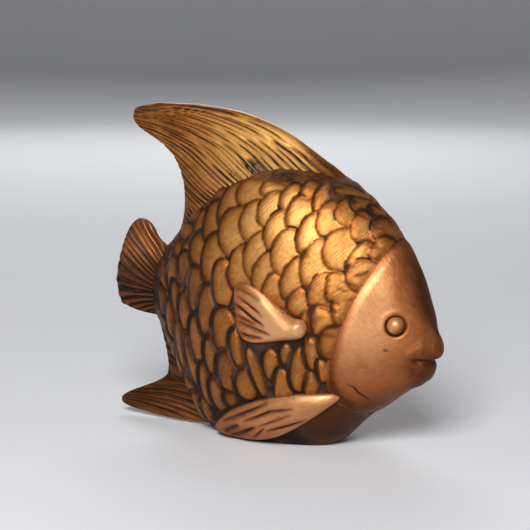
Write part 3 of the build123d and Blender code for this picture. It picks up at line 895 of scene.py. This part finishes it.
def bronze_group():
    """Shared finish of the bronze paint: brushed tones, with the dark wash left in the grooves."""
    name = "rubbed_bronze"
    if name in bpy.data.node_groups:
        return bpy.data.node_groups[name]
    group = bpy.data.node_groups.new(name, "ShaderNodeTree")
    for way, kind, labels in FINISH_SOCKETS:
        for label in labels:
            group.interface.new_socket(name=label, in_out=way, socket_type=kind)
    given = group.nodes.new("NodeGroupInput").outputs

    def plus(first, second, clamp=False):
        return add_math(group, "ADD", first, second, clamp)

    def minus(first, second, clamp=False):
        return add_math(group, "SUBTRACT", first, second, clamp)

    def times(first, second, clamp=False):
        return add_math(group, "MULTIPLY", first, second, clamp)

    stretch = {0: given["Flow"], 1: BRUSH_MARKS}
    stretched = add_node(group, "ShaderNodeVectorMath", stretch, operation="MULTIPLY").outputs[0]
    streaks = add_noise(group, stretched, 1.0, 3.0, 0.6)
    cloud = add_noise(group, given["Place"], 75.0, 4.0, 0.55)
    speck = add_noise(group, given["Place"], 620.0, 3.0, 0.6)
    uneven = minus(plus(times(cloud, 0.9), times(speck, 0.5)), 0.7)
    wash = add_ramp(group, plus(uneven, given["Recess"]), 0.34, 0.86)
    brushed = times(times(minus(streaks, 0.5), given["Brush"]), 0.65)
    tone = plus(times(uneven, given["Brush"]), brushed)
    tone = minus(tone, times(given["Recess"], 0.5))
    # Darker tone where the attribute asks: the paint's own tone together with painted shade and painted
    # highlights
    tone = minus(tone, times(given["Tone_and_shading"], 0.95))
    tone = plus(tone, 0.85, True)
    darker = times(tone, 2.0, True)
    lighter = minus(times(tone, 2.0), 1.0, True)
    coat = add_mix(group, darker, given["Deep"], given["Middle"])
    coat = add_mix(group, lighter, coat, given["Bright"])
    film = add_ramp(group, cloud, 0.38, 0.53, 0.45, 0.0)
    results = {
        "Color": add_mix(group, wash, coat, add_mix(group, film, given["Patina"], given["Slate"])),
        "Roughness": plus(plus(0.38, times(streaks, 0.16)), times(wash, 0.25)),
        "Metallic": times(minus(1.0, wash), 0.7),
        "Height": plus(streaks, times(speck, 0.6)),
    }
    add_node(group, "NodeGroupOutput", results)
    return group


def paint(slot):
    """Bronze paint of a slot, made when it is first asked for."""
    name = slot + "_paint"
    if name in bpy.data.materials:
        return bpy.data.materials[name]
    tones, brush, marks = PAINTS[slot]
    material, tree, shader, place = new_material(name)
    finish = tree.nodes.new("ShaderNodeGroup")
    finish.node_tree = bronze_group()
    tree.links.new(place, finish.inputs["Place"])
    for label, output in (("Recess", "Fac"), ("Tone_and_shading", "Fac"), ("Flow", "Vector")):
        kept = add_node(tree, "ShaderNodeAttribute", attribute_name=label.lower())
        tree.links.new(kept.outputs[output], finish.inputs[label])
    finish.inputs["Brush"].default_value = brush
    for label, tone in zip(("Bright", "Middle", "Deep", "Patina", "Slate"), (*tones, "patina", "slate")):
        finish.inputs[label].default_value = (*getattr(bpy.context.scene.fish_colors, tone), 1)
    for label, key in (("Color", "Base Color"), ("Roughness", "Roughness"), ("Metallic", "Metallic")):
        tree.links.new(finish.outputs[label], shader[key])
    tree.links.new(add_bump(tree, finish.outputs["Height"], marks), shader["Normal"])
    shader["Specular IOR Level"].default_value = 0.2
    return material


def face(item, target):
    """Turns a lamp or a camera to a target."""
    aim = Vector(target) - item.location
    item.rotation_euler = aim.to_track_quat("-Z", "Y").to_euler()


# Lamps: place, size and power, and the point that they face
LAMPS = {
    "key_lamp": ((0.36, -0.94, 0.74), 0.5, 17.0),
    "back_lamp": ((-0.7, 1.1, 0.8), 0.8, 9.0),
}
LAMP_AIM = (0.0, 0.0, 0.06)
# Light from all round, and the wall that the camera sees
DIM_LIGHT = (0.085, 0.085, 0.09, 1)
PALE_WALL = (0.8, 0.81, 0.83, 1)
# Floor: points along a side, width, flat radius, curve of the backdrop and depth under the figurine
FLOOR_POINTS = 96
FLOOR_WIDTH = 6.0
FLOOR_FLAT = 1.5
FLOOR_CURVE = 0.8
FLOOR_DROP = 0.1 * MM


class FISH_OT_stage(bpy.types.Operator):
    """Pale floor that rises into a backdrop, soft lamps and the camera"""

    bl_idname = "fish.stage"
    bl_label = "Stage"

    def execute(self, context):
        scene = context.scene
        form, across, deep = sheet(FLOOR_POINTS, FLOOR_POINTS)
        points = joined(across - 0.5, deep - 0.5, np.zeros_like(across)) * FLOOR_WIDTH
        radius = np.hypot(points[:, 0], points[:, 1])
        points[:, 2] = FLOOR_CURVE * np.maximum(radius - FLOOR_FLAT, 0) ** 2 - FLOOR_DROP
        for vert, point in zip(form.verts, points):
            vert.co = point
        mesh = bpy.data.meshes.new("floor")
        form.to_mesh(mesh)
        form.free()
        mesh.shade_smooth()
        floor = bpy.data.objects.new("floor", mesh)
        scene.collection.objects.link(floor)
        mesh.materials.append(self.floor_paint(scene.fish_colors.floor))
        self.light_world(scene)
        for name, (place, size, power) in LAMPS.items():
            self.add_lamp(scene, name, place, size, power)
        self.add_camera(scene)
        scene.view_settings.view_transform = "Standard"
        return {"FINISHED"}

    def floor_paint(self, color):
        """Matt pale paint with a faint unevenness."""
        material, tree, shader, place = new_material("floor_paint")
        dim = tuple(0.94 * c for c in color)
        cloud = add_noise(tree, place, 3.0, 2.0)
        tree.links.new(add_mix(tree, cloud, (*dim, 1), (*color, 1)), shader["Base Color"])
        shader["Roughness"].default_value = 0.9
        shader["Specular IOR Level"].default_value = 0.1
        return material

    def light_world(self, scene):
        """Even dim light from all round, which the camera sees as a pale wall."""
        world = bpy.data.worlds.new("studio")
        scene.world = world
        world.use_nodes = True
        tree = world.node_tree
        background = tree.nodes["Background"]
        rays_of = tree.nodes.new("ShaderNodeLightPath").outputs
        seen = add_math(tree, "MAXIMUM", rays_of["Is Camera Ray"], rays_of["Is Transmission Ray"])
        tree.links.new(add_mix(tree, seen, DIM_LIGHT, PALE_WALL), background.inputs["Color"])

    def add_lamp(self, scene, name, place, size, power):
        """Square soft lamp that faces the figurine."""
        light = bpy.data.lights.new(name, "AREA")
        light.size = size
        light.energy = power
        lamp = bpy.data.objects.new(name, light)
        lamp.location = place
        face(lamp, LAMP_AIM)
        scene.collection.objects.link(lamp)

    def add_camera(self, scene):
        """Camera at the photograph's viewing angle."""
        lens = bpy.data.cameras.new("camera")
        lens.lens = LENS
        lens.sensor_width = SENSOR
        camera = bpy.data.objects.new("camera", lens)
        camera.location = CAMERA_PLACE * MM
        face(camera, CAMERA_AIM * MM)
        scene.collection.objects.link(camera)
        scene.camera = camera


class FISH_OT_flanks(bpy.types.Operator):
    """The two flanks, with overlapping scales from the gill edge to the tail"""

    bl_idname = "fish.flanks"
    bl_label = "Flanks"

    def execute(self, context):
        for side, node in ((1, "right_flank_shell"), (-1, "left_flank_shell")):
            form, along, down = sheet(*FLANK_GRID)
            points = flank_place(along, down)
            turn = flank_turn(along, down)[1]
            height, recess, flow, tone_and_shading = scales(points, turn, context.scene.fish_sizes)
            height, recess, tone_and_shading = (smooth(values, FLANK_GRID[0]) for values in (height, recess, tone_and_shading))
            fade = ease(1.0, 0.97, down / RIM_SHARE)
            points += outward(flank_place, along, down) * (height * fade)[:, None]
            points[:, 1] = np.minimum(points[:, 1], 0) * side
            points[:, 2] = np.maximum(points[:, 2], 0)
            shape(form, points, recess, flow, tone_and_shading)
            close(form)
            add_piece(form, node, "gold_bronze")
        return {"FINISHED"}


class FISH_OT_head(bpy.types.Operator):
    """The smooth head with its lips, mouth, eye rings and proud gill edge"""

    bl_idname = "fish.head"
    bl_label = "Head"

    def execute(self, context):
        form, level, turn = ball(*HEAD_GRID)
        back = 1 - level
        ends = np.interp(turn, *gill_spread())
        spread = (ends + HEAD_LAP) * np.minimum(back / HEAD_ROWS, 1)
        heading = heading_at(spread, turn)
        reach = head_reach(heading)
        points = HEAD_CENTER + heading * reach[:, None]
        recess = self.marks(points)
        rim = reach * (ends - spread)
        roll = -ease(3.6, -0.8, rim) - 0.9 * ease(0.6, -1.6, rim)
        points += heading * (roll - self.dents(points))[:, None]
        tuck = np.maximum(back - HEAD_ROWS, 0) / (1 - HEAD_ROWS)
        points += (HEAD_INSIDE - points) * tuck[:, None]
        flow = joined(reach * spread, reach * turn, np.zeros_like(reach))
        x, z = points[:, 0], points[:, 2]
        # Painted shade towards the front and the bottom of the head
        tone_and_shading = 0.04 + 0.6 * ease(51, 72, x) + 0.35 * ease(50, 28, z) + 0.4 * ease(32, 18, z)
        # Painted shade along the top of the head, less a painted highlight on the upper cheek by the gill
        # edge
        tone_and_shading += 0.45 * ease(0.9, 0, np.abs(turn)) - 0.3 * mound(51, 6, x) * mound(64, 9, z)
        # Painted shade along the gill edge
        tone_and_shading += 0.5 * mound(-0.2, 1.8, rim)
        shape(form, points, recess, flow, np.clip(tone_and_shading, 0, 1))
        add_piece(form, "head_shell", "copper_bronze")
        return {"FINISHED"}

    def mouth(self, points):
        """How near each point lies to the mouth line."""
        return mound(-0.3, 1.1, mouth_rise(points[:, 0], points[:, 2])) * ease(63, 67, points[:, 0])

    def marks(self, points):
        """Where the wash lies: in the mouth, where it also stands for painted shadow under the upper lip,
        round the eyes and in the flaws.
        """
        ring = 0.85 * mound(EYE_RING, 0.6, self.from_eye(points))
        return np.maximum.reduce([0.6 * self.mouth(points), ring, self.flaws(points)])

    def dents(self, points):
        """How far the skin is pressed in at those marks."""
        apart = self.from_eye(points)
        ring = 0.7 * mound(EYE_RING, 0.6, apart) + 1.2 * ease(3.7, 3.1, apart)
        ring -= 0.15 * mound(5.1, 1.0, apart)
        return ring + 1.4 * self.mouth(points) + 0.4 * self.flaws(points)

    def flaws(self, points):
        """Depth of the crack and the chip."""
        x, y, z = points.T
        return strokes(x, z, HEAD_FLAWS) * (y < 0)

    def from_eye(self, points):
        """Distance to the nearer eye."""
        seat = eye_seat()
        other = seat * (1, -1, 1)
        return np.minimum(*(np.linalg.norm(points - eye, axis=1) for eye in (seat, other)))


class FISH_OT_dorsal_fin(bpy.types.Operator):
    """The swept dorsal fin with its broken ray grooves"""

    bl_idname = "fish.dorsal_fin"
    bl_label = "Dorsal fin"

    def execute(self, context):
        form, level, turn = ball(*DORSAL_GRID)
        z, x, y = blade(DORSAL, level, turn)
        across, along = dorsal_flow(x, z)
        depth = rays(across, along, dorsal_lines())
        y = cut_rays(y, depth * context.scene.fish_sizes.ray_depth / MM)
        z, y = self.sink(x, y, z)
        wave = np.sin(140 * across + np.sin(0.2 * along)) + 0.5 * np.sin(23 * across)
        streaks = ease(-0.2, 0.8, wave)
        depth = np.maximum(depth, 0.9 * self.root(x, y, z) * streaks)
        points = joined(x, y, z)
        flow = joined(along, RAY_SHIFT[0] * across, y)
        tone_and_shading = 0.65 * ease(0, -50, x) + 0.3 * ease(110, 84, z) * ease(15, -15, x)
        tone_and_shading += 0.5 * ease(10, 28, x) + 0.45 * ease(0.1, 0.02, across)
        # Painted highlight across the middle band of the fin
        tone_and_shading -= 0.25 * mound(2, 16, x) * ease(127, 115, z)
        shape(form, points, depth, flow, np.clip(tone_and_shading - 0.26, -0.3, 1))
        add_piece(form, "dorsal_fin", "gold_bronze")
        return {"FINISHED"}

    def sink(self, x, y, z):
        """Draws the fin's front end down into the back, so that its leading edge runs out smoothly."""
        back, _, half, widest = body_shape(x)
        lead = curve(DORSAL_LEAD[:, 0], DORSAL_LEAD[:, 1], x)
        share = ease(25, 37, x)
        crest = lead - (lead - back + 1.2) * share
        level = np.clip((z - widest) / (lead - widest), 0, 1)
        hidden = 0.9 * half * np.sqrt(1 - level**2) * np.sign(y)
        return widest + level * (crest - widest), y + (hidden - y) * share

    def root(self, x, y, z):
        """How near each point lies to the line where the fin leaves the back."""
        back, _, half, widest = body_shape(x)
        outside = np.hypot(y / half, (z - widest) / (back - widest)) - 1
        return ease(4.5, 0, outside * half) * ease(34, 14, x)


class FISH_OT_tail_fin(bpy.types.Operator):
    """The tail fan with its rays"""

    bl_idname = "fish.tail_fin"
    bl_label = "Tail fin"

    def execute(self, context):
        form, level, turn = ball(*TAIL_GRID)
        back, z, y = blade(TAIL, level, turn)
        swept = z - (0.012 * ease(46, 72, z) - 0.003) * (back - 44) ** 2
        away, above = back - TAIL_CENTER[0], swept - TAIL_CENTER[1]
        across = np.degrees(np.arctan2(above, away))
        along = np.hypot(above, away)
        lines = even_lines(8, 18, -24, 4.4, 0.7, (0.8, 1.3), (14, 60))
        depth = rays(across, along, lines) * ease(0.1, 1.2, np.abs(y))
        y = cut_rays(y, SMALL_FIN_DEPTH * depth * context.scene.fish_sizes.ray_depth / MM)
        flow = joined(along, across * 0.5, y)
        tone_and_shading = 0.6 + 0.2 * depth - 0.5 * ease(62, 71, z)
        shape(form, joined(-back, y, z), depth, flow, tone_and_shading)
        add_piece(form, "tail_fin", "brown_bronze")
        return {"FINISHED"}


class FISH_OT_anal_fin(bpy.types.Operator):
    """The anal fin with short ribs above and long ones to its tip"""

    bl_idname = "fish.anal_fin"
    bl_label = "Anal fin"

    def execute(self, context):
        form, level, turn = ball(*ANAL_GRID)
        z, x, y = blade(ANAL, level, turn)
        bent = z + 0.006 * (x + 70) ** 2
        fan = 6 + (bent - 6) * 45 / np.maximum(x + 84, 10)
        across = fan + (z + 0.5 * (x + 50) - fan) * ease(14, 24, z)
        lines = even_lines(9, 24, -4, 2.7, 0.3, (0.6, 0.9), (-80, -20))
        depth = rays(across, x, lines) * ease(0.1, 1.2, np.abs(y)) * ease(0.5, 4, z)
        y = cut_rays(y, SMALL_FIN_DEPTH * depth * context.scene.fish_sizes.ray_depth / MM)
        flow = joined(x, across, y)
        shape(form, joined(x, y, z), 0.7 * depth, flow, 0.42 + 0.25 * ease(10, 26, z))
        add_piece(form, "anal_fin", "brown_bronze")
        return {"FINISHED"}


class FISH_OT_pectoral_fins(bpy.types.Operator):
    """The two pectoral fins, each a knob that opens into a creased fan"""

    bl_idname = "fish.pectoral_fins"
    bl_label = "Pectoral fins"

    def execute(self, context):
        for side, node in ((1, "right_pectoral_fin"), (-1, "left_pectoral_fin")):
            form, level, turn = ball(*PECTORAL_GRID)
            share, reach, back, up = leaf(PECTORAL_OUTLINE, PECTORAL_SIZE, PECTORAL_KNOB, level, turn)
            crease = strokes(back, up, PECTORAL_CREASES, 0.8)
            hollow = strokes(back, up, PECTORAL_CREASES, 2.0)
            outer = level > 0.5
            rounded = rounding(PECTORAL_OUTLINE, PECTORAL_SIZE, share, back, up, PECTORAL_EDGE)
            swell = PECTORAL_PROUD - 2.6 * ease(5, 26, back)
            thick = np.where(outer, swell - 0.5 * crease - hollow, -PECTORAL_BEDDED) * rounded
            x, y, z = PECTORAL_PLACE
            points = joined(x - back, (y - thick) * side, z + up)
            recess = np.where(outer, crease, share < 0.995)
            flow = joined(share * reach, reach * turn, np.zeros_like(turn))
            # Painted shade along the rim and in the hollows beside the creases, and darker towards the fan's
            # end
            tone_and_shading = 0.15 * ease(0.7, 0.98, share) + 0.4 * ease(13, 30, back) + 0.3 * hollow - 0.25
            shape(form, points, recess, flow, tone_and_shading)
            add_piece(form, node, "copper_bronze")
        return {"FINISHED"}


class FISH_OT_pelvic_fins(bpy.types.Operator):
    """The two pelvic fins, leaves with lengthwise grooves that run down to the floor"""

    bl_idname = "fish.pelvic_fins"
    bl_label = "Pelvic fins"

    def execute(self, context):
        for side, node in ((1, "right_pelvic_fin"), (-1, "left_pelvic_fin")):
            form, level, turn = ball(*PELVIC_GRID)
            share, _, back, up = leaf(PELVIC_OUTLINE, PELVIC_SIZE, PELVIC_MIDDLE, level, turn)
            groove = strokes(back, up, PELVIC_GROOVES, 0.7)
            hollow = strokes(back, up, PELVIC_GROOVES, 1.9)
            outer = level > 0.5
            rounded = rounding(PELVIC_OUTLINE, PELVIC_SIZE, share, back, up, PELVIC_EDGE)
            thick = np.where(outer, PELVIC_PROUD - 0.5 * groove - 0.8 * hollow, -PELVIC_BEDDED) * rounded
            points = self.on_flank(back, up, thick)
            points[:, 1] *= side
            points[:, 2] = np.maximum(points[:, 2], 0)
            flow = joined(back, up, np.zeros_like(up))
            # Painted shade in the hollows along the grooves and near the floor, and darker towards the rear
            # tip
            tone_and_shading = 0.12 + 0.15 * ease(25, 50, back) + 0.25 * hollow + 0.3 * ease(9, 1, points[:, 2])
            shape(form, points, np.where(outer, groove, 0.5), flow, tone_and_shading)
            add_piece(form, node, "copper_bronze")
        return {"FINISHED"}

    def on_flank(self, back, up, thick):
        """Point over the lower flank, seen square to the leaf's own leaning plane."""
        inward = np.array((math.cos(PELVIC_LEAN), math.sin(PELVIC_LEAN)))
        x = PELVIC_PLACE[0] - back
        y = PELVIC_PLACE[1] - up * inward[1]
        z = up * inward[0]
        _, belly, half, widest = body_shape(x)
        rise = widest - belly
        a = (inward[0] / half) ** 2 + (inward[1] / rise) ** 2
        b = y * inward[0] / half**2 + (z - widest) * inward[1] / rise**2
        c = (y / half) ** 2 + ((z - widest) / rise) ** 2 - 1
        hit = (-b - np.sqrt(np.maximum(b * b - a * c, 0))) / a - thick
        return joined(x, y + hit * inward[0], z + hit * inward[1])


class FISH_OT_eyes(bpy.types.Operator):
    """The two eyes, domes sunk into their rings"""

    bl_idname = "fish.eyes"
    bl_label = "Eyes"

    def execute(self, context):
        for side, node in ((1, "right_eye"), (-1, "left_eye")):
            form, level, turn = ball(*EYE_GRID)
            radius = EYE_RADIUS * np.sin(HALF_TURN * level)
            height = -np.cos(HALF_TURN * level) * EYE_RADIUS
            height = np.where(height > 0, height, 1.2 * height) - EYE_SUNK
            axis = np.array((math.sin(EYE_TURN), -math.cos(EYE_TURN), 0))
            beside = np.array((math.cos(EYE_TURN), math.sin(EYE_TURN), 0))
            points = eye_seat() + height[:, None] * axis
            points += (radius * np.cos(turn))[:, None] * beside
            points[:, 2] += radius * np.sin(turn)
            points[:, 1] *= side
            share = radius / EYE_RADIUS
            recess = 0.8 * ease(0.9, 1.02, share)
            # Painted shade on the lower front side of the dome
            tone_and_shading = 0.05 + 0.7 * ease(-0.2, 1.0, share * (np.cos(turn) - np.sin(turn)) * 0.71)
            flow = joined(radius * turn, radius, height)
            shape(form, points, recess, flow, tone_and_shading)
            add_piece(form, node, "copper_bronze")
        return {"FINISHED"}


class FISH_OT_foot_plate(bpy.types.Operator):
    """The bare clay plate that closes the opening in the belly"""

    bl_idname = "fish.foot_plate"
    bl_label = "Foot plate"

    def execute(self, context):
        color = context.scene.fish_colors.clay
        material, tree, shader, place = new_material("bare_clay_body")
        dark = tuple(0.72 * c for c in color)
        smear = add_noise(tree, place, 90.0, 3.0)
        tree.links.new(add_mix(tree, smear, (*dark, 1), (*color, 1)), shader["Base Color"])
        shader["Roughness"].default_value = 0.85
        grain = add_noise(tree, place, 900.0, 4.0)
        tree.links.new(add_bump(tree, grain, 0.4), shader["Normal"])
        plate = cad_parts["foot_plate"]
        plate.data.materials.clear()
        plate.data.materials.append(material)
        return {"FINISHED"}


OPERATORS = (
    FISH_OT_stage,
    FISH_OT_flanks,
    FISH_OT_head,
    FISH_OT_dorsal_fin,
    FISH_OT_tail_fin,
    FISH_OT_anal_fin,
    FISH_OT_pectoral_fins,
    FISH_OT_pelvic_fins,
    FISH_OT_eyes,
    FISH_OT_foot_plate,
)


class FISH_PT_figurine(bpy.types.Panel):
    """Sizes, colours and pieces of the fish figurine"""

    bl_idname = "FISH_PT_figurine"
    bl_label = "Fish figurine"
    bl_space_type = "VIEW_3D"
    bl_region_type = "UI"
    bl_category = "Fish"

    def draw(self, context):
        for group in (context.scene.fish_sizes, context.scene.fish_colors):
            for name in group.__annotations__:
                self.layout.prop(group, name)
        for operator in OPERATORS:
            self.layout.operator(operator.bl_idname)


CLASSES = (FishSizes, FishColors, *OPERATORS, FISH_PT_figurine)


def register():
    for cls in CLASSES:
        bpy.utils.register_class(cls)
    bpy.types.Scene.fish_sizes = bpy.props.PointerProperty(type=FishSizes)
    bpy.types.Scene.fish_colors = bpy.props.PointerProperty(type=FishColors)


def unregister():
    del bpy.types.Scene.fish_colors
    del bpy.types.Scene.fish_sizes
    for cls in reversed(CLASSES):
        bpy.utils.unregister_class(cls)


def main():
    register()
    bpy.ops.fish.stage()
    bpy.ops.fish.flanks()
    bpy.ops.fish.head()
    bpy.ops.fish.dorsal_fin()
    bpy.ops.fish.tail_fin()
    bpy.ops.fish.anal_fin()
    bpy.ops.fish.pectoral_fins()
    bpy.ops.fish.pelvic_fins()
    bpy.ops.fish.eyes()
    bpy.ops.fish.foot_plate()


if __name__ == "__main__":
    main()
